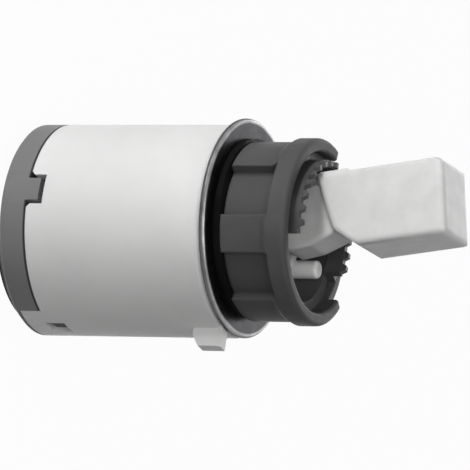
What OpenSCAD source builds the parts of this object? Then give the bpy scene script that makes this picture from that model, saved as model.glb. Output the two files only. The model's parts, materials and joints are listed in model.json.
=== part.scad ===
// Single-lever mixing cartridge with ceramic discs, standing on its base, axis along Z.
// Z = 0 is the underside of the base plate. +Y is the side of the key tab.
// At rest the lever leans toward -Y and the valve is shut. All sizes are in millimetres.

/* [Housing] */
// Outer diameter of the housing and the base
body_d = 46; // [44:0.5:48]
// Height of the shoulder above the underside of the base
body_h = 47.3; // [45:0.1:52]
// Wall thickness of the housing
body_wall = 2.6; // [2.2:0.1:3]
// Thickness of the front plate of the housing
plate_t = 4; // [3:0.5:5]
// Radius of the shoulder edge
shoulder_round = 1.3; // [0.3:0.1:1.6]
// Diameter of the bore that guides the rotor
bore_d = 22.2; // [21.8:0.1:22.6]
// Outer diameter of the neck
neck_d = 29.8; // [29.4:0.1:30.2]
// Height of the neck above the shoulder on the side of the key
neck_h = 4.7; // [3.5:0.1:5]
// Height of the neck above the shoulder on the far side
neck_back_h = 13.5; // [12:0.1:13.7]
// Half angle of the high part of the neck
neck_back_half = 68; // [50:1:70]
// Width of the key tab
key_w = 3; // [2:0.1:4]
// Radial reach of the key tab beyond the housing
key_rise = 4.1; // [3:0.1:5]
// Length of the key tab along the axis
key_len = 6.8; // [4:0.1:7]
// Distance from the shoulder to the front of the key tab
key_drop = 0; // [0:0.1:3]
// Bevel of the key tab along the axis
key_bevel_z = 1.7; // [0.5:0.1:2]
// Bevel of the key tab across
key_bevel_r = 2.6; // [1:0.1:2.8]

/* [Legs, windows and clips] */
// Height at which the housing wall starts
skirt_z = 6.2; // [5.8:0.1:6.6]
// Width of each leg of the housing
leg_w = 13.8; // [12:0.2:16]
// Height at which a leg ends
leg_z = 1.4; // [1:0.1:2]
// Width of the snap window in each leg
window_w = 5; // [4:0.2:6]
// Lower edge of the snap window
window_z = 5.5; // [4.5:0.1:6]
// Height of the snap window
window_h = 4.7; // [4:0.1:5]
// Width of each clip tab on the base
clip_w = 5.1; // [4:0.1:6]
// Height of the top of each clip tab
clip_top = 8.8; // [8:0.1:9.4]
// Width of the notch for a clip tab
notch_w = 6.7; // [6.2:0.1:8]
// Height of the top of the notch
notch_top = 9.9; // [9.6:0.1:10.5]
// Chamfer at the mouth of the notch
notch_chamfer = 0.9; // [0.3:0.1:1.2]

/* [Base] */
// Height of the base ring
ring_h = 6; // [5.6:0.1:6.1]
// Height of the floor that carries the discs
floor_z = 7; // [6.8:0.1:7.6]
// Height of the rim around the fixed disc
rim_z = 10.4; // [9.5:0.1:11]
// Chamfer at the lower edge of the base
foot_chamfer = 0.7; // [0.3:0.1:1.2]
// Width of the rim around the fixed disc
rim_wall = 2.2; // [1.8:0.1:2.6]
// Distance from the outside of the base to the centre of each port
port_edge = 9.4; // [9.1:0.1:9.8]
// Diameter of each port on the underside
port_d = 8.4; // [7.5:0.1:9]
// Pitch radius of the ports under the discs
inner_r = 9.9; // [9.6:0.1:10.2]
// Diameter of each port under the discs
inner_d = 7.4; // [6.8:0.1:7.6]
// Pitch radius of the outlet under the discs
outlet_r = 10.3; // [10:0.1:10.6]
// Width of the outlet under the discs
outlet_w = 5.6; // [5:0.1:6]
// Half angle between the two inlet ports
inlet_half = 45; // [42:1:48]
// Half angle spanned by the outlet port
outlet_half = 45; // [38:1:46]
// Half angle spanned by the outlet under the discs
inner_outlet_half = 37; // [32:1:38]
// Height of the boss around each port
boss_h = 1; // [0.5:0.1:1.5]
// Wall of the boss around each port seal
boss_wall = 0.8; // [0.6:0.1:1]
// Diameter of each locating peg
peg_d = 4.6; // [4:0.1:5]
// Distance from the outside of the base to the centre of each locating peg
peg_edge = 7.5; // [6:0.1:8.5]

/* [Seals] */
// Radial width of a port seal
seal_w = 2.5; // [2:0.1:2.7]
// Depth of a seal groove
groove_t = 1.2; // [0.8:0.1:1.6]
// How far a port seal stands out of its boss
seal_stand = 0.9; // [0.5:0.1:1.2]
// Radial width of a seal under the fixed disc
disc_seal_w = 1.8; // [1.4:0.1:1.9]
// How far a disc seal stands out of its groove
disc_seal_stand = 0.3; // [0.2:0.05:0.5]
// Gap around a seal in its groove
seal_gap = 0.1; // [0.05:0.05:0.2]

/* [Discs] */
// Thickness of the fixed disc
fixed_t = 4.5; // [4:0.1:5]
// Radial room left outside the moving disc at the end of its travel
disc_room = 1.15; // [1.05:0.05:1.45]
// Thickness of the moving disc
moving_t = 4.8; // [4:0.1:5.4]
// Radius of the outlet end of the mixing chamber in the moving disc
chamber_r = 7.5; // [7:0.1:7.6]
// Depth of the mixing chamber
chamber_t = 2.6; // [2:0.1:3]
// Wall of the moving disc outside the mixing chamber
chamber_wall = 1.9; // [1.8:0.1:2.3]
// Radius of the inlet end of the mixing chamber
chamber_in_r = 7; // [6.6:0.1:7.1]
// Width of each waterway through the fixed disc
slot_w = 4.2; // [3.6:0.1:4.6]
// Width of each key notch of the fixed disc
disc_key_w = 4; // [3:0.1:5]
// Depth of each key notch of the fixed disc
disc_key_t = 1.6; // [1.2:0.1:2]

/* [Disc carrier] */
// Thickness of the plate of the disc carrier
carrier_plate_t = 5; // [4:0.1:5.4]
// Wall around the socket for the ball
socket_wall = 2.6; // [2:0.1:2.8]
// Thickness of the ribs that brace the socket
carrier_rib_t = 2; // [1.4:0.1:2.6]
// Diameter of each peg that drives the moving disc
drive_peg_d = 3.2; // [2.6:0.1:3.6]
// Distance of each drive peg from the middle
drive_peg_off = 9.5; // [9:0.1:9.8]
// Depth of the drive pegs in the moving disc
drive_peg_t = 1.4; // [1:0.1:1.6]
// Distance between the guide faces of the rotor for the disc carrier
guide_w = 26.2; // [25:0.1:27]

/* [Rotor] */
// Turn of the rotor at rest, away from its middle position
rest_turn = 10; // [0:1:30]
// Whole turn of the rotor between its stops
full_turn = 80; // [60:1:80]
// Distance of the lever pivot below the shoulder
pivot_drop = 1.3; // [1:0.1:2.5]
// Diameter of the pivot pin
pin_d = 4; // [3:0.1:4.4]
// Width of the slot that the lever swings in
rotor_slot_w = 9.8; // [9.6:0.1:10.2]
// Length of that slot
rotor_slot_len = 22; // [21:0.5:24]
// Height of the cheeks above the shoulder
cheek_h = 9.7; // [7:0.1:10]
// Diameter of the rotor above the neck
cheek_d = 17.6; // [17:0.1:18]
// Wall of the ring that carries the stop dog
dog_ring_w = 1.6; // [1.2:0.1:1.6]
// Height of the stop dog
dog_t = 2.6; // [2:0.1:2.6]
// Thickness of the slide ring on the rotor
slide_t = 1; // [0.8:0.1:1.4]

/* [Lever] */
// Lean of the lever at rest
rest_tilt = 8.3; // [4:0.1:9]
// Whole tilt of the lever from shut to open
full_tilt = 25; // [18:0.5:25]
// Distance from the pivot to the end of the lever
lever_len = 50.3; // [46:0.1:56]
// Width of the lever head along the pivot
head_w = 14.4; // [12:0.1:15]
// Depth of the lever head in the plane of its tilt
head_deep = 16.7; // [14:0.1:18]
// How far the lever head lies off the middle of the stem
head_off = 0.45; // [0:0.05:0.8]
// Length of the underside of the lever head
head_len = 19.8; // [17:0.1:21]
// Length of the bevel behind the lever head
head_bevel = 6.2; // [5:0.1:7]
// Depth of the bevel behind the lever head
head_bevel_deep = 4.9; // [4:0.1:6]
// Slant of the back of the lever head
head_skew = 14; // [8:1:18]
// Height of the rib across the back of the lever head
rib_h = 0.7; // [0.4:0.1:1]
// Length of that rib
rib_len = 8; // [6:0.1:10]
// Rounding of the lever head
head_round = 1.3; // [0.8:0.1:1.8]
// Width of the neck of the lever
shank_w = 9.2; // [8.4:0.1:9.4]
// Depth of the neck of the lever
shank_deep = 14.6; // [14:0.1:15.2]
// Depth of the stem of the lever inside the rotor
stem_deep = 8; // [7:0.1:8.4]
// Distance from the pivot to the wide part of the neck
shank_start = 12.6; // [12.4:0.1:14]
// Distance from the pivot to the centre of the ball
arm = 16; // [15:0.1:17]
// Diameter of the ball
ball_d = 8.4; // [7.6:0.1:8.8]

/* [Collar] */
// Outer diameter of the collar
collar_d = 38.6; // [38:0.1:39.4]
// Height of the rear of the collar above the shoulder
collar_lift = 3; // [2.8:0.1:3.2]
// Length of the collar
collar_len = 15.3; // [14.6:0.1:16]
// Outer diameter of the bead at the front
bead_d = 40.3; // [39.8:0.1:41]
// Length of the bead
bead_len = 4.3; // [3:0.1:4.6]
// Length of the ramp behind the bead
bead_ramp = 1.6; // [1:0.1:2.2]
// Rounding of the bead
bead_round = 1; // [0.6:0.1:1.4]
// Diameter of the opening at the front
mouth_d = 34.6; // [34:0.1:35.2]
// Depth of that opening
mouth_deep = 4.1; // [3.6:0.1:4.6]
// Turn of the collar about the axis
collar_turn = 24; // [20:1:30]
// Half angle of each pocket
pocket_half = 17.8; // [16:0.1:20]
// Angle from the middle rib to the centre of a pocket
pocket_pitch = 30; // [28:0.5:34]
// Depth of each pocket
pocket_t = 2.1; // [1.5:0.1:2.6]
// Half angle of the missing part of the rim
rim_gap_half = 59.4; // [50:0.1:62]
// Angle from the pocket pattern to the middle of the missing rim
rim_gap_turn = 1.4; // [-6:0.1:6]
// How much lower the wall is where the rim is missing
rim_gap_drop = 2.4; // [2:0.1:3]

/* [Limiter] */
// Inner diameter of the toothed ring
crown_d = 28; // [27.8:0.1:28.6]
// Wall of the toothed ring
crown_wall = 1.5; // [1.2:0.1:1.8]
// Thickness of the flange of the toothed ring
crown_flange = 1.8; // [1.4:0.1:2.2]
// Height of the toothed ring above its seat, without the teeth
crown_h = 5.3; // [4.8:0.1:5.6]
// How much lower the toothed ring is beside the missing rim
crown_drop = 1.4; // [0.8:0.1:1.8]
// Height of a tooth
tooth_h = 1; // [0.6:0.1:1.2]
// Number of teeth in a full circle
teeth_full = 30; // [24:2:32]
// Turn of the teeth about the axis
tooth_turn = -3.4; // [-6:0.1:6]
// Angle spanned by the toothed ring on its high side
crown_high = 114; // [100:1:116]
// Angle spanned by the toothed ring on its low side
crown_low = 105; // [96:1:108]
// Diameter of each stop peg
stop_d = 4; // [3.4:0.02:4]
// Pitch radius of the stop pegs
stop_r = 12.9; // [12.8:0.1:13]
// Angle from the key tab to each stop peg
stop_angle = 74; // [72:1:75]
// Height of each stop peg above the neck
stop_h = 9; // [7:0.1:9.2]

/* [Washer and slip ring] */
// How much wider the thrust washer is than the housing
washer_over = 1.3; // [-1:0.1:2]
// Inner diameter of the washer and of the slip ring
washer_bore_d = 31.4; // [31.4:0.1:32]
// Thickness of the thrust washer
washer_t = 1.4; // [0.8:0.1:1.6]
// Rounding of the outer edge of the thrust washer
washer_round = 0.65; // [0.2:0.05:0.65]
// How far the loose rings lie off centre
washer_shift = 0.7; // [0:0.05:0.75]
// Direction in which they lie off centre
washer_turn = -67; // [-180:1:180]
// Outer diameter of the slip ring
slip_d = 38.6; // [36:0.1:39]

/* [Clearances] */
// Radial clearance of a shaft in its bore
run_gap = 0.08; // [0.04:0.01:0.1]
// Gap between pieces that move past each other
move_gap = 0.3; // [0.25:0.05:0.35]
// Gap between pieces that are fitted together
fit_gap = 0.1; // [0.05:0.01:0.15]
// Gap between flat faces that slide on each other
slide_gap = 0.05; // [0.02:0.01:0.08]

/* [Hidden] */

$fn = 96;
eps = 0.02;
reach = 60;

body_r = body_d / 2;
bore_r = bore_d / 2;
neck_r = neck_d / 2;
shell_r = body_r - body_wall;
key_top = body_h - key_drop;
neck_top = body_h + neck_h;

plug_r = shell_r - fit_gap;
port_r = body_r - port_edge;
peg_r = body_r - peg_edge;
fixed_r = plug_r - rim_wall - fit_gap;
fixed_key_r = fixed_r - disc_key_t;
washer_d = body_d + washer_over;
inlet_angles = [-90 - inlet_half, -90 + inlet_half];
outlet_angle = 90;
port_seal_r = port_d / 2 + seal_w;
boss_r = port_seal_r + seal_gap + boss_wall;
disc_seal_r = inner_d / 2 + disc_seal_w;
outlet_seal_r = outlet_w / 2 + disc_seal_w;
foot_z = -boss_h - seal_stand;

fixed_z = floor_z + disc_seal_stand;
moving_z = fixed_z + fixed_t;
carrier_z = moving_z + moving_t;

pivot_z = body_h - pivot_drop;
ball_z = pivot_z - arm;
rotor_z = ball_z + ball_d / 2 - 0.9;
rotor_top = body_h - plate_t - slide_t - 2 * slide_gap;
rotor_r = shell_r - move_gap;
hub_r = bore_r - run_gap;
cheek_top = body_h + cheek_h;
skirt_gap = 0.6;

// Depth of the rib inside the lever head, overlap of neck and head, and how far the neck narrows halfway
rib_root = 4;
head_root = 2.2;
waist = 0.2;

open_tilt = full_tilt - rest_tilt;
ball_rest = arm * sin(rest_tilt);
ball_open = -arm * sin(open_tilt);
carrier_travel = ball_rest - ball_open;
disc_rest = carrier_travel / 2;
socket_off = ball_rest - disc_rest;
socket_r = ball_d / 2 + run_gap;
moving_r = shell_r - carrier_travel / 2 - disc_room;
chamber_off = moving_r - chamber_r - chamber_wall;
plate_top = carrier_z + carrier_plate_t;
carrier_top = rotor_z - move_gap;
carrier_w = guide_w - 2 * fit_gap;

collar_z = body_h + collar_lift;
collar_top = collar_z + collar_len;
collar_r = collar_d / 2;
collar_bore_r = neck_r + fit_gap;
seat_z = collar_top - mouth_deep;
mouth_r = mouth_d / 2;
bead_z = collar_top - bead_len;
crown_r = crown_d / 2;
crown_top = seat_z + crown_h;
tooth_pitch = 360 / teeth_full;
tooth_root = 0.3;
tooth_inset = 0.15;
crown_margin = 5;
teeth_high = floor((crown_high - crown_margin - tooth_turn) / tooth_pitch);
teeth_low = floor((crown_low - crown_margin + tooth_turn) / tooth_pitch);
washer_z = body_h + slide_gap;
slip_z = washer_z + washer_t + slide_gap;
stop_top = neck_top + stop_h;

// Height at which the stop dog turns, and the half angle that its lug spans
dog_z = neck_top + move_gap;
dog_in_r = cheek_d / 2 + fit_gap;
dog_ring_r = dog_in_r + dog_ring_w;
dog_half = stop_angle - asin(stop_d / 2 / stop_r) - full_turn / 2 - 0.4;
dog_r = stop_r + 1.5;

// Points of an arc around a centre, for rounded profiles
function arc(cx, cy, r, a0, a1, n = 6) =
    [for (i = [0:n]) let (a = a0 + (a1 - a0) * i / n) [cx + r * cos(a), cy + r * sin(a)]];

function unit(v) = v / norm(v);

// Arc of radius r that replaces the corner c between p and q
function fillet(p, c, q, r, n) =
    let (u = unit(p - c), v = unit(q - c), h = acos(u * v) / 2)
    let (m = c + unit(u + v) * r / sin(h), a = c + u * r / tan(h) - m, b = c + v * r / tan(h) - m)
    [for (i = [0:n]) m + unit(a * (n - i) + b * i) * r];

// Outline with each corner rounded
function rounded(pts, r, n = 4) =
    let (k = len(pts))
    [for (i = [0:k - 1]) each fillet(pts[(i + k - 1) % k], pts[i], pts[(i + 1) % k], r, n)];

// A wedge about the axis from angle a0 to a1
module wedge(a0, a1, z0, z1, r = reach) {
    n = max(1, ceil((a1 - a0) / 30));
    translate([0, 0, z0])
        linear_extrude(z1 - z0)
            polygon(concat([[0, 0]], [for (i = [0:n]) let (a = a0 + (a1 - a0) * i / n)
                [r * cos(a), r * sin(a)]]));
}

module tube(r_out, r_in, z0, z1) {
    difference() {
        translate([0, 0, z0]) cylinder(r = r_out, h = z1 - z0);
        translate([0, 0, z0 - 1]) cylinder(r = r_in, h = z1 - z0 + 2);
    }
}

module disc_at(r, z0, z1) {
    translate([0, 0, z0]) cylinder(r = r, h = z1 - z0);
}

// Outline of a slot that follows a circle and ends in half rounds
function slot_outline(r, w, mid, half, n = 18, m = 10) = concat(
    [for (i = [0:n]) let (a = mid - half + 2 * half * i / n) [(r + w) * cos(a), (r + w) * sin(a)]],
    [for (i = [1:m - 1]) let (a = mid + half, b = a + 180 * i / m)
        [r * cos(a) + w * cos(b), r * sin(a) + w * sin(b)]],
    [for (i = [0:n]) let (a = mid + half - 2 * half * i / n) [(r - w) * cos(a), (r - w) * sin(a)]],
    [for (i = [1:m - 1]) let (a = mid - half, b = a + 180 + 180 * i / m)
        [r * cos(a) + w * cos(b), r * sin(a) + w * sin(b)]]
);

module arc_slot(r, half_w, mid, half, z0, z1) {
    translate([0, 0, z0])
        linear_extrude(z1 - z0)
            polygon(slot_outline(r, half_w, mid, half));
}

module at_rotor() {
    rotate([0, 0, rest_turn]) children();
}

module at_lever() {
    at_rotor() translate([0, 0, pivot_z]) rotate([rest_tilt, 0, 0]) children();
}

// Base plate: foot ring, plug, port bosses, clip tabs and locating pegs

module base_solid() {
    rotate([0, 0, 30])
        rotate_extrude()
            polygon([
                [0, 0], [body_r - foot_chamfer, 0], [body_r, foot_chamfer], [body_r, rim_z],
                [0, rim_z]
            ]);
    for (a = inlet_angles)
        rotate([0, 0, a]) translate([port_r, 0, -boss_h]) cylinder(r = boss_r, h = boss_h + 1);
    arc_slot(port_r, boss_r, outlet_angle, outlet_half, -boss_h, 1);
    for (a = [0, 180])
        rotate([0, 0, a]) translate([peg_r, 0, foot_z]) cylinder(d = peg_d, h = -foot_z + 1);
}

// Everything above the foot ring except the two clip tabs
module clip_clear() {
    rotate([0, 0, 30])
        difference() {
            tube(body_r + 2, plug_r, ring_h, reach);
            rotate([0, 0, -30])
                translate([-reach, -clip_w / 2, 0]) cube([2 * reach, clip_w, clip_top]);
        }
}

// Room in the base ring for a leg of the housing
module leg_recess() {
    intersection() {
        tube(body_r + 1, plug_r - eps, leg_z - 0.2, reach);
        translate([-leg_w / 2 - fit_gap, 0, 0]) cube([leg_w + 2 * fit_gap, reach, reach]);
    }
}

module snap_lug() {
    intersection() {
        tube(body_r - 1, plug_r - 0.5, window_z + 0.8, window_z + window_h - 0.8);
        translate([-window_w / 2 + 0.4, 0, 0]) cube([window_w - 0.8, reach, reach]);
    }
}

module round_port(angle) {
    rotate([0, 0, angle]) {
        translate([port_r, 0, -boss_h - 1]) cylinder(d = port_d, h = boss_h + 5);
        translate([inner_r, 0, 3]) cylinder(d = inner_d, h = reach);
        translate([port_r, 0, -boss_h - 1])
            cylinder(r = port_seal_r + seal_gap, h = 1 + groove_t);
        translate([inner_r, 0, floor_z - groove_t])
            cylinder(r = disc_seal_r + seal_gap, h = reach);
    }
}

module outlet_port() {
    arc_slot(port_r, port_d / 2, outlet_angle, outlet_half, -boss_h - 1, 4);
    arc_slot(outlet_r, outlet_w / 2, outlet_angle, inner_outlet_half, 3, reach);
    arc_slot(port_r, port_seal_r + seal_gap, outlet_angle, outlet_half,
        -boss_h - 1, groove_t - boss_h);
    arc_slot(outlet_r, outlet_seal_r + seal_gap, outlet_angle, inner_outlet_half,
        floor_z - groove_t, reach);
}

module disc_notch_keys(w, z0, z1, r) {
    for (a = [0, 180])
        rotate([0, 0, a])
            translate([r, -w / 2, z0]) cube([reach, w, z1 - z0]);
}

module base_plate() {
    color("dimgray") {
        difference() {
            base_solid();
            difference() {
                disc_at(fixed_r + fit_gap, floor_z, reach);
                disc_notch_keys(disc_key_w - 2 * fit_gap, floor_z - 1, reach, fixed_key_r);
            }
            clip_clear();
            for (a = [0, 180]) rotate([0, 0, a]) leg_recess();
            for (a = inlet_angles) round_port(a);
            outlet_port();
        }
        for (a = [0, 180]) rotate([0, 0, a]) snap_lug();
    }
}

// Port seals and disc seals

module round_seal(pitch, angle, r_out, r_in, z0, z1) {
    rotate([0, 0, angle]) translate([pitch, 0, 0]) tube(r_out, r_in, z0, z1);
}

module kidney_seal(pitch, half, r_out, r_in, z0, z1) {
    difference() {
        arc_slot(pitch, r_out, outlet_angle, half, z0, z1);
        arc_slot(pitch, r_in, outlet_angle, half, z0 - 1, z1 + 1);
    }
}

module cold_port_seal() {
    color("black")
        round_seal(port_r, inlet_angles[1], port_seal_r, port_d / 2, foot_z, groove_t - boss_h);
}

module hot_port_seal() {
    color("black")
        round_seal(port_r, inlet_angles[0], port_seal_r, port_d / 2, foot_z, groove_t - boss_h);
}

module outlet_port_seal() {
    color("black")
        kidney_seal(port_r, outlet_half, port_seal_r, port_d / 2, foot_z, groove_t - boss_h);
}

module cold_disc_seal() {
    color("black")
        round_seal(inner_r, inlet_angles[1], disc_seal_r, inner_d / 2, floor_z - groove_t, fixed_z);
}

module hot_disc_seal() {
    color("black")
        round_seal(inner_r, inlet_angles[0], disc_seal_r, inner_d / 2, floor_z - groove_t, fixed_z);
}

module outlet_disc_seal() {
    color("black")
        kidney_seal(outlet_r, inner_outlet_half, outlet_seal_r, outlet_w / 2,
            floor_z - groove_t, fixed_z);
}

// Ceramic discs and their carrier

module fixed_disc() {
    color("ivory")
        difference() {
            disc_at(fixed_r, fixed_z, moving_z);
            disc_notch_keys(disc_key_w, fixed_z - 1, moving_z + 1, fixed_key_r - fit_gap);
            for (a = inlet_angles)
                arc_slot(inner_r, slot_w / 2, a, 8, fixed_z - 1, moving_z + 1);
            arc_slot(outlet_r, outlet_w / 2 - 0.2, outlet_angle, inner_outlet_half,
                fixed_z - 1, moving_z + 1);
        }
}

module carrier_pegs(r, z0, z1) {
    for (side = [-1, 1])
        translate([side * drive_peg_off, disc_rest, z0]) cylinder(r = r, h = z1 - z0);
}

// Blind chamber that joins the inlets to the outlet. At rest its inlet end lies inside the inlets.
module mixing_chamber() {
    translate([0, disc_rest + chamber_off, moving_z - 1]) cylinder(r = chamber_r, h = 1 + chamber_t);
    translate([0, 0, moving_z - 1]) cylinder(r = chamber_in_r, h = 1 + chamber_t);
    translate([-chamber_in_r + 0.3, 0, moving_z - 1])
        cube([2 * chamber_in_r - 0.6, disc_rest + chamber_off, 1 + chamber_t]);
}

module moving_disc() {
    color("ivory")
        at_rotor()
            difference() {
                translate([0, disc_rest, moving_z]) cylinder(r = moving_r, h = moving_t);
                mixing_chamber();
                carrier_pegs(drive_peg_d / 2 + fit_gap, carrier_z - drive_peg_t - 0.2, carrier_z + 1);
            }
}

// The part of the plate that lies between the guide faces, inset from the edge of the disc
module carrier_plan(z0, z1) {
    intersection() {
        translate([0, disc_rest, z0]) cylinder(r = moving_r - 0.8, h = z1 - z0);
        translate([-carrier_w / 2, -reach, 0]) cube([carrier_w, 2 * reach, reach]);
    }
}

module carrier_body() {
    rib_top = plate_top - 1 + (carrier_top - plate_top) * 0.6;
    carrier_plan(carrier_z, plate_top);
    translate([0, ball_rest, plate_top - 1])
        cylinder(r = socket_r + socket_wall, h = carrier_top - plate_top + 1);
    for (a = [0:90:270])
        intersection() {
            translate([0, ball_rest, plate_top - 1])
                rotate([0, 0, a])
                    translate([0, -carrier_rib_t / 2, 0]) cube([12, carrier_rib_t, reach]);
            carrier_plan(carrier_z + 1, rib_top);
        }
    carrier_pegs(drive_peg_d / 2, carrier_z - drive_peg_t, carrier_z + 1);
}

module disc_carrier() {
    color("slategray")
        at_rotor()
            difference() {
                carrier_body();
                translate([0, ball_rest, ball_z - ball_d / 2 - 0.6])
                    cylinder(r = socket_r, h = reach);
            }
}

// Housing: shell, legs, front plate, neck and key tab

module shell_profile() {
    r = shoulder_round;
    rotate_extrude()
        polygon(concat(
            [[shell_r, skirt_z], [body_r, skirt_z]],
            arc(body_r - r, body_h - r, r, 0, 90),
            [[bore_r, body_h], [bore_r, body_h - plate_t], [shell_r, body_h - plate_t]]
        ));
}

module leg() {
    intersection() {
        tube(body_r, shell_r, leg_z, skirt_z + 1);
        translate([-leg_w / 2, 0, 0]) cube([leg_w, reach, reach]);
    }
}

module window_cut() {
    translate([-window_w / 2, shell_r - 2, window_z]) cube([window_w, body_wall + 4, window_h]);
}

module clip_notch() {
    c = notch_chamfer;
    w = notch_w / 2;
    translate([shell_r - 1, 0, 0])
        rotate([90, 0, 90])
            linear_extrude(body_wall + 3)
                polygon([
                    [-w - c, skirt_z - 1], [w + c, skirt_z - 1], [w + c, skirt_z], [w, skirt_z + c],
                    [w, notch_top], [-w, notch_top], [-w, skirt_z + c], [-w - c, skirt_z]
                ]);
}

module key_tab() {
    out = body_r + key_rise;
    low = key_top - key_len;
    translate([-key_w / 2, 0, 0])
        rotate([90, 0, 90])
            linear_extrude(key_w)
                polygon([
                    [body_r - 1, low], [out - key_bevel_r, low], [out, low + key_bevel_z],
                    [out, key_top], [body_r - 1, key_top]
                ]);
}

module neck() {
    tube(neck_r, bore_r, body_h - 1, neck_top);
    intersection() {
        tube(neck_r, bore_r, body_h - 1, body_h + neck_back_h);
        wedge(-90 - neck_back_half, -90 + neck_back_half, 0, 2 * reach);
    }
}

module stop_root(r, gap) {
    translate([stop_r, 0, neck_top - 3 - gap]) cylinder(r = r, h = 3 + gap + eps);
}

module housing() {
    color("whitesmoke")
        difference() {
            union() {
                shell_profile();
                neck();
                for (a = [0, 180]) rotate([0, 0, a]) leg();
                key_tab();
            }
            for (a = [0, 180]) rotate([0, 0, a]) window_cut();
            for (a = [0, 180]) rotate([0, 0, a]) clip_notch();
            for (side = [-1, 1])
                rotate([0, 0, 90 + side * stop_angle]) stop_root(stop_d / 3, 0.2);
        }
}

// Rotor with its slide ring, pivot pin and stop dog

module rotor_body() {
    disc_at(rotor_r, rotor_z, rotor_top);
    disc_at(hub_r, rotor_top - 1, neck_top - 0.1);
    disc_at(dog_ring_r, neck_top - 1, dog_z);
    disc_at(cheek_d / 2, neck_top - 1, cheek_top);
    difference() {
        disc_at(rotor_r, carrier_z + skirt_gap, rotor_z + 1);
        translate([-guide_w / 2, -reach, 0]) cube([guide_w, 2 * reach, 2 * reach]);
    }
}

module rotor() {
    color("white")
        at_rotor()
            difference() {
                rotor_body();
                translate([-rotor_slot_w / 2, -rotor_slot_len / 2, 0])
                    cube([rotor_slot_w, rotor_slot_len, 2 * reach]);
                translate([-reach, 0, pivot_z])
                    rotate([0, 90, 0]) cylinder(r = pin_d / 2 + eps, h = 2 * reach);
            }
}

module slide_ring() {
    color("beige")
        at_rotor()
            tube(rotor_r - 1, hub_r + move_gap, rotor_top + slide_gap, rotor_top + slide_gap + slide_t);
}

module pivot_pin() {
    half = hub_r - 0.4;
    color("silver")
        at_rotor()
            translate([-half, 0, pivot_z])
                rotate([0, 90, 0]) cylinder(d = pin_d, h = 2 * half);
}

// Ring around the rotor with one lug, keyed in the slot of the rotor
module stop_dog() {
    tongue_w = rotor_slot_w - 2 * fit_gap;
    color("lightgray")
        at_rotor() {
            tube(dog_ring_r, dog_in_r, dog_z, dog_z + dog_t);
            intersection() {
                tube(dog_r, dog_in_r + dog_ring_w / 2, dog_z, dog_z + dog_t);
                wedge(90 - dog_half, 90 + dog_half, 0, 2 * reach);
            }
            intersection() {
                tube(dog_in_r + dog_ring_w / 2, dog_in_r - 1.2, dog_z, dog_z + dog_t);
                translate([-tongue_w / 2, -reach, 0]) cube([tongue_w, reach, 2 * reach]);
            }
        }
}

// Lever: moulded head and neck, shank with the pivot bore, and the ball that drives the carrier

// Outline in the plane of the tilt, drawn across the whole width
module side_prism(pts, w) {
    translate([-w, 0, 0])
        rotate([90, 0, 90])
            linear_extrude(2 * w)
                polygon(pts);
}

// Outline seen along the depth of the lever
module front_prism(pts) {
    translate([0, reach / 2, 0])
        rotate([90, 0, 0])
            linear_extrude(reach)
                polygon(pts);
}

// Rounded bar along the length of the lever
module long_prism(x, y0, y1, r, t0, t1) {
    translate([0, 0, t0])
        linear_extrude(t1 - t0)
            polygon(rounded([[-x, y0], [x, y0], [x, y1], [-x, y1]], r));
}

// Height of the slanted back of the head at the depth y
function head_back(y) =
    lever_len - head_len - head_bevel + (y - head_off - head_deep / 2 + head_bevel_deep) * tan(head_skew);

// The roundings differ a little, so that no two of the faces coincide
module lever_head() {
    r = head_round;
    w = head_w / 2;
    y0 = head_off - head_deep / 2;
    y1 = head_off + head_deep / 2;
    y2 = y1 - head_bevel_deep;
    back = head_back(0) * cos(head_skew) - eps;
    intersection() {
        union() {
            side_prism(rounded([
                [y0, lever_len], [y1, lever_len], [y1, lever_len - head_len], [y2, head_back(y2)],
                [y0, head_back(y0)]
            ], r - 0.05), w);
            side_prism(rounded([
                [y0 - rib_h, head_back(y0 - rib_h)], [y0 + rib_root, head_back(y0 + rib_root)],
                [y0 + rib_root, head_back(y0) + rib_len], [y0 - rib_h, head_back(y0) + rib_len]
            ], r), w);
        }
        front_prism(rounded([
            [-w - eps, 0], [w + eps, 0], [w + eps, lever_len + eps], [-w - eps, lever_len + eps]
        ], r));
        long_prism(w + eps, y0 - rib_h - eps, y1 + eps, r + 0.05, 1, lever_len + 1);
        rotate([head_skew, 0, 0])
            front_prism(rounded([
                [-w - eps, back], [w + eps, back], [w + eps, 2 * reach], [-w - eps, 2 * reach]
            ], r + 0.1));
    }
}

module lever_neck() {
    r = 0.9;
    y = shank_deep / 2;
    y2 = head_off + head_deep / 2 - head_bevel_deep;
    mid = (shank_start + head_back(y2)) / 2;
    intersection() {
        side_prism(rounded([
            [-y, shank_start], [y, shank_start], [y - waist * (y - y2), mid],
            [y2, head_back(y2) + head_root], [-y, head_back(-y) + head_root]
        ], r), shank_w / 2);
        long_prism(shank_w / 2 + eps, -y - eps, y + eps, r + 0.1, shank_start - 1, lever_len);
    }
}

module lever_shank() {
    low = -arm + ball_d / 2 + 1.5;
    translate([-shank_w / 2, -stem_deep / 2, low])
        cube([shank_w, stem_deep, shank_start + 2 - low]);
    translate([0, 0, -arm]) sphere(d = ball_d);
    translate([0, 0, -arm]) cylinder(d = ball_d - 2, h = ball_d / 2 + 2);
}

module lever() {
    color("white")
        at_lever()
            difference() {
                union() {
                    lever_head();
                    lever_neck();
                    lever_shank();
                }
                translate([-reach, 0, 0])
                    rotate([0, 90, 0]) cylinder(r = pin_d / 2 + run_gap, h = 2 * reach);
            }
}

// Stop pegs pressed into the neck

module stop_peg(angle) {
    color("white")
        rotate([0, 0, angle]) {
            stop_root(stop_d / 3 - 0.03, 0);
            translate([stop_r, 0, 0])
                rotate_extrude()
                    polygon(concat(
                        [[0, neck_top], [stop_d / 2, neck_top]],
                        arc(stop_d / 2 - 0.8, stop_top - 0.8, 0.8, 0, 90),
                        [[0, stop_top]]
                    ));
        }
}

module stop_peg_left() {
    stop_peg(90 + stop_angle);
}

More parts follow.
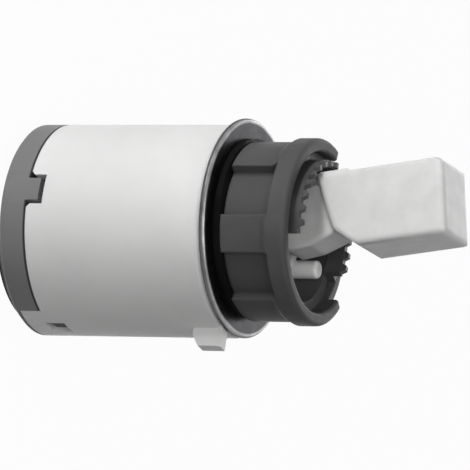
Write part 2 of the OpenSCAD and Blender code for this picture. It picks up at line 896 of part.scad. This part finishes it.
module stop_peg_right() {
    stop_peg(90 - stop_angle);
}

// Slip ring and thrust washer on the shoulder

module slip_ring() {
    color("black")
        rotate([0, 0, washer_turn])
            translate([washer_shift, 0, 0])
                tube(slip_d / 2, washer_bore_d / 2, slip_z, collar_z - slide_gap);
}

module thrust_washer() {
    r = washer_round;
    out = washer_d / 2;
    in = washer_bore_d / 2;
    color("silver")
        rotate([0, 0, washer_turn])
            translate([washer_shift, 0, washer_z])
                rotate_extrude()
                    polygon(concat(
                        [[in, 0]],
                        arc(out - r, r, r, -90, 0),
                        arc(out - r, washer_t - r, r, 0, 90),
                        [[in, washer_t]]
                    ));
}

// Collar with pockets and a bead, and the toothed limiter ring that seats in it

module collar_profile() {
    r = bead_round;
    b = bead_d / 2;
    rotate_extrude()
        polygon(concat(
            [[collar_bore_r, collar_z], [collar_r - 0.3, collar_z], [collar_r, collar_z + 0.3]],
            [[collar_r, bead_z - bead_ramp], [b, bead_z]],
            arc(b - r, collar_top - r, r, 0, 90),
            [[mouth_r + 0.4, collar_top], [mouth_r, collar_top - 0.4]],
            [[mouth_r, seat_z], [collar_bore_r, seat_z]]
        ));
}

// Pocket in the side of the collar, open at the rear
module pocket() {
    intersection() {
        tube(reach, collar_r - pocket_t, collar_z - 1, seat_z - fit_gap);
        wedge(-pocket_half, pocket_half, 0, 2 * reach);
    }
}

// The part of the rim that is left out, down to the plain wall
module rim_gap() {
    low = collar_top - rim_gap_drop;
    intersection() {
        union() {
            tube(reach, collar_r, bead_z - bead_ramp - 1, reach * 2);
            tube(reach, mouth_r - 1, low, reach * 2);
        }
        wedge(180 + rim_gap_turn - rim_gap_half, 180 + rim_gap_turn + rim_gap_half, 0, 2 * reach);
    }
}

module limiter_collar() {
    color("dimgray")
        rotate([0, 0, collar_turn])
            difference() {
                collar_profile();
                for (a = [-pocket_pitch, pocket_pitch, 180 - pocket_pitch, 180 + pocket_pitch])
                    rotate([0, 0, a]) pocket();
                rim_gap();
            }
}

// Place of a tooth about the axis, counted from the side toward which the lever leans
function tooth_at(i) = -90 + tooth_turn + i * tooth_pitch;

module tooth(top) {
    w = crown_r * sin(tooth_pitch / 2);
    h = tooth_h + tooth_root;
    translate([crown_r + tooth_inset, 0, top - tooth_root])
        rotate([90, 0, 90])
            linear_extrude(crown_wall - 2 * tooth_inset)
                polygon([[-w * 0.8, 0], [w * 0.8, 0], [w * 0.35, h], [-w * 0.35, h]]);
}

module crown_profile() {
    rotate_extrude()
        polygon([
            [crown_r, seat_z], [mouth_r - fit_gap, seat_z],
            [mouth_r - fit_gap, seat_z + crown_flange],
            [crown_r + crown_wall, seat_z + crown_flange],
            [crown_r + crown_wall, crown_top], [crown_r, crown_top]
        ]);
}

// Limiter ring that seats in the collar, lower on the side where the rim is missing
module toothed_ring() {
    color("dimgray") {
        difference() {
            intersection() {
                crown_profile();
                wedge(-90 - crown_low, -90 + crown_high, 0, 2 * reach);
            }
            intersection() {
                tube(reach, crown_r - 1, crown_top - crown_drop, 2 * reach);
                wedge(-90 - crown_low - crown_margin, tooth_at(0.5), 0, 3 * reach);
            }
        }
        for (i = [-teeth_low:teeth_high])
            rotate([0, 0, tooth_at(i)]) tooth(i > 0 ? crown_top : crown_top - crown_drop);
    }
}

base_plate();
cold_port_seal();
hot_port_seal();
outlet_port_seal();
cold_disc_seal();
hot_disc_seal();
outlet_disc_seal();
fixed_disc();
moving_disc();
disc_carrier();
housing();
rotor();
slide_ring();
pivot_pin();
lever();
stop_dog();
stop_peg_left();
stop_peg_right();
slip_ring();
thrust_washer();
limiter_collar();
toothed_ring();
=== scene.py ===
import json
import math

import bmesh
import bpy
from mathutils import Matrix, Vector


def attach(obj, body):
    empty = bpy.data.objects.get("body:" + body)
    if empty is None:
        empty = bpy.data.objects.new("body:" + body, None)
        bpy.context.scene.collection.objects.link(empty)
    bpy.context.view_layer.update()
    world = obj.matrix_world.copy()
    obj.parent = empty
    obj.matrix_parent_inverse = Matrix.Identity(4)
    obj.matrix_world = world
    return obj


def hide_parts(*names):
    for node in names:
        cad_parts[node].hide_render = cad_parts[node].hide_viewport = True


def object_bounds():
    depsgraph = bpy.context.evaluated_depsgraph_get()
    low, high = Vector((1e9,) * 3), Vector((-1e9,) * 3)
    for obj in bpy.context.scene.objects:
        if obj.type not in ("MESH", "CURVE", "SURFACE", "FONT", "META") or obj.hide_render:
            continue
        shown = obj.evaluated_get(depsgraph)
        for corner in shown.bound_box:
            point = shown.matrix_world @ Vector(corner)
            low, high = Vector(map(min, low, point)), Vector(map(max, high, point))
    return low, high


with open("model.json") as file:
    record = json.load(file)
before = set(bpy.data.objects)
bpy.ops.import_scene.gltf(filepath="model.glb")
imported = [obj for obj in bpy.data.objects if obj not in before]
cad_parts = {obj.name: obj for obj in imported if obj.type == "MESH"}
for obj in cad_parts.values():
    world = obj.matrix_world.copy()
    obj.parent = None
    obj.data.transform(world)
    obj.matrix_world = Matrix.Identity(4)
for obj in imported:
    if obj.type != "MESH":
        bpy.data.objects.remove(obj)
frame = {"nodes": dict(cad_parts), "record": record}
cad_lo, cad_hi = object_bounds()
nodes = frame["nodes"]
record = frame["record"]
scene = bpy.context.scene
MM = 0.001
Z = Vector((0, 0, 1))

# The photograph: its size and scale in pixels, and the pixel where the point TARGET on the axis shows
IMAGE = 470.0
PIXELS_PER_M = 4645.0
TARGET = Vector((0, 0, 45 * MM))
TARGET_PIXEL = (233.1, 231.6)
# The camera: its angle above the side of the cartridge, its turn round the axis, the roll of the
# picture, and its distance from TARGET in metres
ELEVATION = math.radians(24.0)
AZIMUTH = math.radians(22.8)
ROLL = math.radians(0.48)
CAMERA_DISTANCE = 1.2
SENSOR_MM = 36.0

# The thrust washer, whose centre is off the axis because it is loose
WASHER_CENTRE = (0.2735 * MM, -0.6444 * MM)
WASHER_RADIUS = 23.65 * MM
WASHER_BASE = 47.35 * MM
WASHER_THICK = 1.4 * MM
# The radii between which the face's colour gives way to the rim's, and the heights over which the
# painted highlight along the rim's front fades in
WASHER_RIM = (WASHER_RADIUS - 1.1 * MM, WASHER_RADIUS - 0.6 * MM)
WASHER_FRONT = (WASHER_BASE + WASHER_THICK * 0.62, WASHER_BASE + WASHER_THICK * 0.9)

# Noise values between which a colour or gloss goes from one end to the other, and the pointiness
# values between which a surface goes from unworn to worn
SPAN = (0.35, 0.65)
WIDE_SPAN = (0.3, 0.7)
CLOUD_SPAN = (0.38, 0.68)
WORN_SPAN = (0.505, 0.56)
# Light under the surface of white plastic: how far it goes, and the share of that for each colour
UNDER_MM = 1.2
UNDER_SHARES = (0.9, 0.85, 0.8)

# Skins: points closer than this become one, before the bevel and after it
DOUBLES = 0.002 * MM
WELD = 0.004 * MM
# Faces within FLAT_ANGLE of each other become one, edges over BEVEL_ANGLE are bevelled, and edges
# over SHARP_ANGLE are shaded sharp
FLAT_ANGLE = math.radians(0.4)
BEVEL_ANGLE = math.radians(28.0)
SHARP_ANGLE = math.radians(30.0)
BEVEL_SEGMENTS = 3

# Floor and world: the floor's own grey, the share of white that the camera sees there instead, its
# size, its gap below the object, and the light from all round
FLOOR_GREY = 0.45
FLOOR_WHITE = 0.965
FLOOR_SIZE = 6.0
FLOOR_GAP = 0.02 * MM
AMBIENT = 0.05


# Node helpers

def new_material(name):
    mat = bpy.data.materials.new(name)
    mat.use_nodes = True
    nt = mat.node_tree
    nt.nodes.clear()
    out = nt.nodes.new("ShaderNodeOutputMaterial")
    bsdf = nt.nodes.new("ShaderNodeBsdfPrincipled")
    nt.links.new(bsdf.outputs["BSDF"], out.inputs["Surface"])
    return mat, nt, bsdf


def grey(level, blue=0.0):
    """A grey, with its blue raised or lowered a little."""
    return (level, level, level + blue)


def scaled(colour, factor):
    return tuple(c * factor for c in colour)


def object_coord(nt):
    return nt.nodes.new("ShaderNodeTexCoord").outputs["Object"]


def axes(nt, coord):
    split = nt.nodes.new("ShaderNodeSeparateXYZ")
    nt.links.new(coord, split.inputs[0])
    return split.outputs


def math_node(nt, operation, a, b=None):
    n = nt.nodes.new("ShaderNodeMath")
    n.operation = operation
    for i, value in enumerate((a, b)):
        if value is None:
            continue
        if isinstance(value, (int, float)):
            n.inputs[i].default_value = value
        else:
            nt.links.new(value, n.inputs[i])
    return n.outputs[0]


def noise(nt, coord, scale, detail=3.0, rough=0.5, stretch=None):
    """Noise of scale cells per metre, drawn out along an axis whose stretch is below 1."""
    if stretch is not None:
        mapping = nt.nodes.new("ShaderNodeMapping")
        mapping.inputs["Scale"].default_value = stretch
        nt.links.new(coord, mapping.inputs["Vector"])
        coord = mapping.outputs["Vector"]
    n = nt.nodes.new("ShaderNodeTexNoise")
    n.inputs["Scale"].default_value = scale
    n.inputs["Detail"].default_value = detail
    n.inputs["Roughness"].default_value = rough
    nt.links.new(coord, n.inputs["Vector"])
    return n.outputs["Fac"]


def remap(nt, value, start, end, lo=0.0, hi=1.0):
    """lo where value is at start or before it, hi from end on, and a ramp between them."""
    n = nt.nodes.new("ShaderNodeMapRange")
    nt.links.new(value, n.inputs["Value"])
    n.inputs["From Min"].default_value = start
    n.inputs["From Max"].default_value = end
    n.inputs["To Min"].default_value = lo
    n.inputs["To Max"].default_value = hi
    return n.outputs["Result"]


def mix_colour(nt, share, a, b):
    """a where share is 0 and b where it is 1; each is a colour or a socket."""
    n = nt.nodes.new("ShaderNodeMix")
    n.data_type = "RGBA"
    nt.links.new(share, n.inputs["Factor"])
    for name, value in (("A", a), ("B", b)):
        socket = next(s for s in n.inputs if s.name == name and s.type == "RGBA")
        if isinstance(value, tuple):
            socket.default_value = (*value, 1.0)
        else:
            nt.links.new(value, socket)
    return next(s for s in n.outputs if s.type == "RGBA")


def bump(nt, height, depth_mm, strength=1.0, normal=None):
    n = nt.nodes.new("ShaderNodeBump")
    n.inputs["Distance"].default_value = depth_mm * MM
    n.inputs["Strength"].default_value = strength
    nt.links.new(height, n.inputs["Height"])
    if normal is not None:
        nt.links.new(normal, n.inputs["Normal"])
    return n.outputs["Normal"]


def mix_shader(nt, share, a, b):
    n = nt.nodes.new("ShaderNodeMixShader")
    nt.links.new(share, n.inputs["Fac"])
    nt.links.new(a, n.inputs[1])
    nt.links.new(b, n.inputs[2])
    return n.outputs[0]


def seen_directly(nt):
    """1 for rays from the camera, in gloss and through glass, 0 for rays that light the object."""
    path = nt.nodes.new("ShaderNodeLightPath").outputs
    seen = math_node(nt, "MAXIMUM", path["Is Camera Ray"], path["Is Glossy Ray"])
    return math_node(nt, "MAXIMUM", seen, path["Is Transmission Ray"])


# Materials

def plastic(name, dark, light, rough, grain_mm=0.12, depth_mm=0.004, soft=0.0, spec=0.3, worn=0.0,
            edge_mm=0.25, blotch=0.0):
    """Moulded plastic: slow tone changes, fine grain and faint flow lines.

    grain_mm and depth_mm are the size and height of the grain, soft is the share of light that
    passes under the surface, worn lightens the edges, edge_mm rounds them in the shader, and
    blotch adds darker clouds."""
    mat, nt, bsdf = new_material(name)
    coord = object_coord(nt)
    slow = noise(nt, coord, scale=60.0)
    fine = noise(nt, coord, scale=1.0 / (grain_mm * MM), detail=2.0)
    tone = mix_colour(nt, remap(nt, slow, *SPAN), dark, light)
    if blotch > 0:
        cloud = noise(nt, coord, scale=230.0, detail=5.0, rough=0.55)
        shade = scaled(dark, 0.75)
        tone = mix_colour(nt, remap(nt, cloud, *CLOUD_SPAN, hi=blotch), tone, shade)
    if worn > 0:
        edge = nt.nodes.new("ShaderNodeNewGeometry").outputs["Pointiness"]
        rubbed = tuple(min(1.0, c * 1.5 + 0.02) for c in light)
        tone = mix_colour(nt, remap(nt, edge, *WORN_SPAN, hi=worn), tone, rubbed)
    nt.links.new(tone, bsdf.inputs["Base Color"])
    mottle = noise(nt, coord, scale=350.0, detail=4.0, rough=0.6)
    gloss = remap(nt, mottle, *WIDE_SPAN, lo=rough - 0.05, hi=rough + 0.06)
    nt.links.new(gloss, bsdf.inputs["Roughness"])
    rounded = nt.nodes.new("ShaderNodeBevel")
    rounded.samples = 6
    rounded.inputs["Radius"].default_value = edge_mm * MM
    grained = bump(nt, fine, depth_mm, normal=rounded.outputs["Normal"])
    wave = noise(nt, coord, scale=90.0, detail=2.0, rough=0.4, stretch=(1.0, 1.0, 0.25))
    flow_lines = bump(nt, wave, depth_mm=0.02, strength=0.5, normal=grained)
    nt.links.new(flow_lines, bsdf.inputs["Normal"])
    bsdf.inputs["Specular IOR Level"].default_value = spec
    if soft > 0:
        bsdf.inputs["Subsurface Weight"].default_value = soft
        bsdf.inputs["Subsurface Radius"].default_value = UNDER_SHARES
        bsdf.inputs["Subsurface Scale"].default_value = UNDER_MM * MM
    return mat


def paint_joint_shade(mat, z_clear, z_full, across, half_mm, tone, fade_mm=0.1):
    """Paints shade into the colour from height z_clear to the joint at z_full, both in mm, for the
    shadow in the narrow gap there, but not within half_mm of the middle along the axis across, where a
    tab or leg bridges the joint."""
    nt = mat.node_tree
    bsdf = next(n for n in nt.nodes if n.type == "BSDF_PRINCIPLED")
    before = bsdf.inputs["Base Color"].links[0].from_socket
    place = axes(nt, object_coord(nt))
    near = remap(nt, place["Z"], z_clear * MM, z_full * MM)
    off_middle = math_node(nt, "ABSOLUTE", place[across])
    beside = remap(nt, off_middle, half_mm * MM, (half_mm + fade_mm) * MM)
    # Painted shade, strongest at the joint
    mask = math_node(nt, "MULTIPLY", near, beside)
    nt.links.new(mix_colour(nt, mask, before, tone), bsdf.inputs["Base Color"])


def rubber(name, dark, light, rough, spec=0.12):
    """Black rubber: uneven tone and gloss over a fine rough grain."""
    mat, nt, bsdf = new_material(name)
    coord = object_coord(nt)
    slow = noise(nt, coord, scale=120.0, detail=4.0)
    tone = mix_colour(nt, remap(nt, slow, *SPAN), dark, light)
    nt.links.new(tone, bsdf.inputs["Base Color"])
    mottle = noise(nt, coord, scale=700.0)
    gloss = remap(nt, mottle, *WIDE_SPAN, lo=rough - 0.08, hi=rough + 0.08)
    nt.links.new(gloss, bsdf.inputs["Roughness"])
    grain = noise(nt, coord, scale=5000.0)
    nt.links.new(bump(nt, grain, depth_mm=0.006), bsdf.inputs["Normal"])
    bsdf.inputs["Specular IOR Level"].default_value = spec
    return mat


def pin_metal(name, colour, rough, pitch_mm=0.09):
    """Steel rod along X, with turning marks pitch_mm apart round it."""
    mat, nt, bsdf = new_material(name)
    coord = object_coord(nt)
    round_x = (1.0, 0.05, 0.05)
    lines = noise(nt, coord, scale=1.0 / (pitch_mm * MM), detail=2.0, rough=0.7, stretch=round_x)
    slow = noise(nt, coord, scale=220.0)
    tone = mix_colour(nt, remap(nt, slow, *WIDE_SPAN), scaled(colour, 0.86), colour)
    nt.links.new(tone, bsdf.inputs["Base Color"])
    bsdf.inputs["Metallic"].default_value = 1.0
    gloss = remap(nt, lines, *WIDE_SPAN, lo=rough - 0.08, hi=rough + 0.1)
    nt.links.new(gloss, bsdf.inputs["Roughness"])
    nt.links.new(bump(nt, lines, depth_mm=0.004), bsdf.inputs["Normal"])
    return mat


def washer_metal(name):
    """Spring steel with turning marks, with painted light: a dark face for a dark reflection, a darker
    rim back for a shadow line, and a highlight along the rim's front.
    """
    mat, nt, bsdf = new_material(name)
    coord = object_coord(nt)
    place = axes(nt, coord)
    u = math_node(nt, "SUBTRACT", place["X"], WASHER_CENTRE[0])
    v = math_node(nt, "SUBTRACT", place["Y"], WASHER_CENTRE[1])
    square = math_node(nt, "ADD", math_node(nt, "MULTIPLY", u, u), math_node(nt, "MULTIPLY", v, v))
    radius = math_node(nt, "SQRT", square)
    rings = nt.nodes.new("ShaderNodeCombineXYZ")
    nt.links.new(radius, rings.inputs[0])
    nt.links.new(place["Z"], rings.inputs[1])
    lines = noise(nt, rings.outputs[0], scale=9000.0, detail=2.0, rough=0.7)
    slow = noise(nt, coord, scale=260.0, detail=4.0, rough=0.6)
    outer = remap(nt, radius, *WASHER_RIM)
    front = remap(nt, place["Z"], *WASHER_FRONT)
    highlight_band = math_node(nt, "MULTIPLY", outer, front)
    patch = remap(nt, slow, *WIDE_SPAN)
    # Painted light: the face is dark to stand in for a dark reflection, the rim's back is darker as a
    # painted shadow line, and the front band is a painted highlight
    face = mix_colour(nt, patch, grey(0.05, blue=0.002), grey(0.075, blue=0.003))
    rim = mix_colour(nt, patch, grey(0.09, blue=0.002), grey(0.15, blue=0.003))
    painted_highlight = mix_colour(nt, patch, grey(0.2, blue=0.003), grey(0.36, blue=0.005))
    tone = mix_colour(nt, highlight_band, mix_colour(nt, outer, face, rim), painted_highlight)
    nt.links.new(tone, bsdf.inputs["Base Color"])
    bsdf.inputs["Specular Tint"].default_value = (0.5, 0.5, 0.5, 1)
    bsdf.inputs["Metallic"].default_value = 1.0
    gloss = remap(nt, lines, *WIDE_SPAN, lo=0.22, hi=0.36)
    nt.links.new(gloss, bsdf.inputs["Roughness"])
    nt.links.new(bump(nt, lines, depth_mm=0.003), bsdf.inputs["Normal"])
    return mat


def ceramic(name, tint):
    """Lapped ceramic: a pale body with fine specks, nearly a mirror."""
    mat, nt, bsdf = new_material(name)
    coord = object_coord(nt)
    specks = noise(nt, coord, scale=2500.0, rough=0.7)
    speckled = remap(nt, specks, start=0.4, end=0.7)
    tone = mix_colour(nt, speckled, tint, scaled(tint, 0.93))
    nt.links.new(tone, bsdf.inputs["Base Color"])
    mottle = noise(nt, coord, scale=300.0)
    gloss = remap(nt, mottle, *WIDE_SPAN, lo=0.12, hi=0.22)
    nt.links.new(gloss, bsdf.inputs["Roughness"])
    nt.links.new(bump(nt, specks, depth_mm=0.001), bsdf.inputs["Normal"])
    return mat


MATERIALS = {
    "housing": plastic(
        "housing_white", grey(0.76, -0.005), grey(0.80, -0.005), rough=0.36, soft=0.12, spec=0.12),
    "lever": plastic(
        "lever_white", grey(0.72, -0.005), grey(0.77, -0.005), rough=0.46, grain_mm=0.2, depth_mm=0.010,
        soft=0.12, edge_mm=1.8, blotch=0.3),
    "rotor": plastic("rotor_white", grey(0.74, -0.01), grey(0.79, -0.01), rough=0.4, soft=0.1),
    "base_plate": plastic(
        "base_grey", grey(0.155, 0.003), grey(0.18, 0.004), rough=0.45, grain_mm=0.15, depth_mm=0.006,
        spec=0.2, worn=0.2),
    "disc_carrier": plastic("carrier_grey", (0.10, 0.11, 0.12), (0.13, 0.14, 0.15), rough=0.45),
    "slide_ring": plastic("slide_cream", (0.62, 0.60, 0.54), (0.68, 0.66, 0.6), rough=0.3),
    "stop_dog": plastic("dog_grey", grey(0.07, 0.003), grey(0.09, 0.003), rough=0.42),
    "stop_peg": plastic("peg_white", grey(0.9, -0.01), grey(0.93, -0.01), rough=0.32, soft=0.3),
    "limiter_collar": plastic(
        "collar_grey", grey(0.08, 0.002), grey(0.1, 0.002), rough=0.45, grain_mm=0.15, depth_mm=0.005,
        spec=0.035, worn=0.1, edge_mm=0.7),
    "toothed_ring": plastic(
        "toothed_grey", grey(0.06, 0.002), grey(0.08, 0.002), rough=0.42, grain_mm=0.15, depth_mm=0.005,
        spec=0.16, worn=0.2),
    "seal": rubber("seal_black", grey(0.018), grey(0.03), rough=0.55),
    "slip_ring": rubber("slip_black", grey(0.004), grey(0.008), rough=0.5, spec=0.04),
    "ceramic": ceramic("ceramic_white", (0.78, 0.77, 0.74)),
    "thrust_washer": washer_metal("washer_steel"),
    "pivot_pin": pin_metal("pin_steel", grey(0.6, 0.01), rough=0.25),
}
# Painted shade along the gap where the base plate meets the housing, on both parts
paint_joint_shade(MATERIALS["base_plate"], z_clear=5.68, z_full=5.82, across="Y", half_mm=2.55,
           tone=grey(0.05, 0.002))
paint_joint_shade(MATERIALS["housing"], z_clear=6.42, z_full=6.3, across="X", half_mm=6.9, tone=grey(0.2))

# Nodes whose material has another name than their own
SHARED = {
    "stop_peg_left": "stop_peg", "stop_peg_right": "stop_peg",
    "cold_port_seal": "seal", "hot_port_seal": "seal", "outlet_port_seal": "seal",
    "cold_disc_seal": "seal", "hot_disc_seal": "seal", "outlet_disc_seal": "seal",
    "fixed_disc": "ceramic", "moving_disc": "ceramic",
}
# Nodes that a skin stands for, and the most in mm that its bevel may take. Tiny edges nearby hold
# nearly all bevels to a few hundredths, so the softness that shows comes from the shader
SKINS = {
    "housing": 0.25, "lever": 0.0, "rotor": 0.0, "base_plate": 0.2, "disc_carrier": 0.2,
    "limiter_collar": 0.3, "toothed_ring": 0.12, "stop_dog": 0.15,
}
BODY_OF = {name: body for body, members in record["behaviour"]["bodies"].items() for name in members}


def material_of(name):
    return MATERIALS[SHARED.get(name, name)]


for name, obj in nodes.items():
    obj.data.materials.clear()
    obj.data.materials.append(material_of(name))
    for polygon in obj.data.polygons:
        polygon.material_index = 0


# Softened skins

def skin(name, bevel_mm):
    """A copy of a CAD node with joined points and narrow bevels, which stands for the node."""
    mesh = nodes[name].data.copy()
    mesh.name = name + "_skin"
    bm = bmesh.new()
    bm.from_mesh(mesh)
    bmesh.ops.remove_doubles(bm, verts=bm.verts, dist=DOUBLES)
    bmesh.ops.dissolve_limit(bm, angle_limit=FLAT_ANGLE, verts=bm.verts, edges=bm.edges)
    bm.to_mesh(mesh)
    bm.free()
    mesh.materials.clear()
    mesh.materials.append(material_of(name))
    obj = bpy.data.objects.new(name + "_skin", mesh)
    scene.collection.objects.link(obj)
    for polygon in mesh.polygons:
        polygon.use_smooth = True
    mesh.set_sharp_from_angle(angle=SHARP_ANGLE)
    if bevel_mm > 0:
        bevel = obj.modifiers.new("soft_edges", "BEVEL")
        bevel.width = bevel_mm * MM
        bevel.segments = BEVEL_SEGMENTS
        bevel.limit_method = "ANGLE"
        bevel.angle_limit = BEVEL_ANGLE
        # Joins the points that the bevel leaves almost on each other at tiny edges
        weld = obj.modifiers.new("joined_points", "WELD")
        weld.merge_threshold = WELD
    normals = obj.modifiers.new("normals", "WEIGHTED_NORMAL")
    normals.keep_sharp = True
    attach(obj, BODY_OF[name])
    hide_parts(name)


for name, bevel_mm in SKINS.items():
    skin(name, bevel_mm)


# Camera of the photograph: the axis lies level in the picture, base to the left

side = Vector((math.cos(AZIMUTH), math.sin(AZIMUTH), 0))
top = Vector((math.sin(AZIMUTH), -math.cos(AZIMUTH), 0))
back = side * math.cos(ELEVATION) + Z * math.sin(ELEVATION)
level = top.cross(back)
right = level * math.cos(ROLL) + top * math.sin(ROLL)
up = top * math.cos(ROLL) - level * math.sin(ROLL)
shift_right = (IMAGE / 2 - TARGET_PIXEL[0]) / PIXELS_PER_M
shift_up = (TARGET_PIXEL[1] - IMAGE / 2) / PIXELS_PER_M

camera_data = bpy.data.cameras.new("camera")
camera_data.sensor_width = SENSOR_MM
camera_data.lens = PIXELS_PER_M * CAMERA_DISTANCE / IMAGE * SENSOR_MM
camera_data.clip_start = 0.01
camera_data.clip_end = 20.0
camera = bpy.data.objects.new("camera", camera_data)
scene.collection.objects.link(camera)
camera_place = TARGET + (right * shift_right + up * shift_up) + back * CAMERA_DISTANCE
camera_axes = Matrix((right, up, back)).transposed().to_4x4()
camera.matrix_world = Matrix.Translation(camera_place) @ camera_axes
scene.camera = camera


# Floor, white to the camera from above with a faint shadow, and clear from below

def floor_material():
    mat, nt, bsdf = new_material("floor_white")
    bsdf.inputs["Base Color"].default_value = (*grey(FLOOR_GREY), 1)
    mottle = noise(nt, object_coord(nt), scale=40.0)
    gloss = remap(nt, mottle, start=0.0, end=1.0, lo=0.85, hi=0.95)
    nt.links.new(gloss, bsdf.inputs["Roughness"])
    white = nt.nodes.new("ShaderNodeEmission")
    white.inputs["Color"].default_value = (1, 1, 1, 1)
    share = math_node(nt, "MULTIPLY", seen_directly(nt), FLOOR_WHITE)
    above = mix_shader(nt, share, bsdf.outputs[0], white.outputs[0])
    from_below = nt.nodes.new("ShaderNodeNewGeometry").outputs["Backfacing"]
    clear = nt.nodes.new("ShaderNodeBsdfTransparent")
    both = mix_shader(nt, from_below, above, clear.outputs[0])
    nt.links.new(both, nt.nodes["Material Output"].inputs["Surface"])
    return mat


bpy.ops.mesh.primitive_plane_add(size=FLOOR_SIZE, location=(0, 0, cad_lo.z - FLOOR_GAP))
floor = bpy.context.object
floor.name = "floor"
floor.data.materials.append(floor_material())


# World, white to the camera and weak on the object

def background(nt, strength):
    n = nt.nodes.new("ShaderNodeBackground")
    n.inputs["Color"].default_value = (1, 1, 1, 1)
    n.inputs["Strength"].default_value = strength
    return n.outputs[0]


world = bpy.data.worlds.new("studio")
scene.world = world
world.use_nodes = True
world_nodes = world.node_tree
world_nodes.nodes.clear()
ambient = background(world_nodes, strength=AMBIENT)
white = background(world_nodes, strength=1.0)
sky = mix_shader(world_nodes, seen_directly(world_nodes), ambient, white)
world_out = world_nodes.nodes.new("ShaderNodeOutputWorld")
world_nodes.links.new(sky, world_out.inputs["Surface"])


# Lights

def area_light(name, direction, distance, size, watts, target=TARGET):
    data = bpy.data.lights.new(name, "AREA")
    data.shape = "RECTANGLE"
    data.size, data.size_y = size
    data.energy = watts
    obj = bpy.data.objects.new(name, data)
    scene.collection.objects.link(obj)
    towards = direction.normalized()
    obj.location = target + towards * distance
    obj.rotation_mode = "QUATERNION"
    obj.rotation_quaternion = towards.to_track_quat("Z", "Y")


area_light("key", top * 0.87 + side * 0.5, distance=0.42, size=(0.3, 0.07), watts=1.18,
           target=Vector((0, 0, 37 * MM)))
area_light("front", side * 0.9 + Z * 0.5, distance=0.9, size=(0.5, 0.5), watts=2.1)
area_light("end", Z * 0.93 + side * 0.35, distance=0.5, size=(0.25, 0.25), watts=0.65)
area_light("rear", Z * 0.2 - side * 0.95 + top * 0.1, distance=0.8, size=(0.5, 0.3), watts=2.0)

scene.view_settings.view_transform = "Standard"
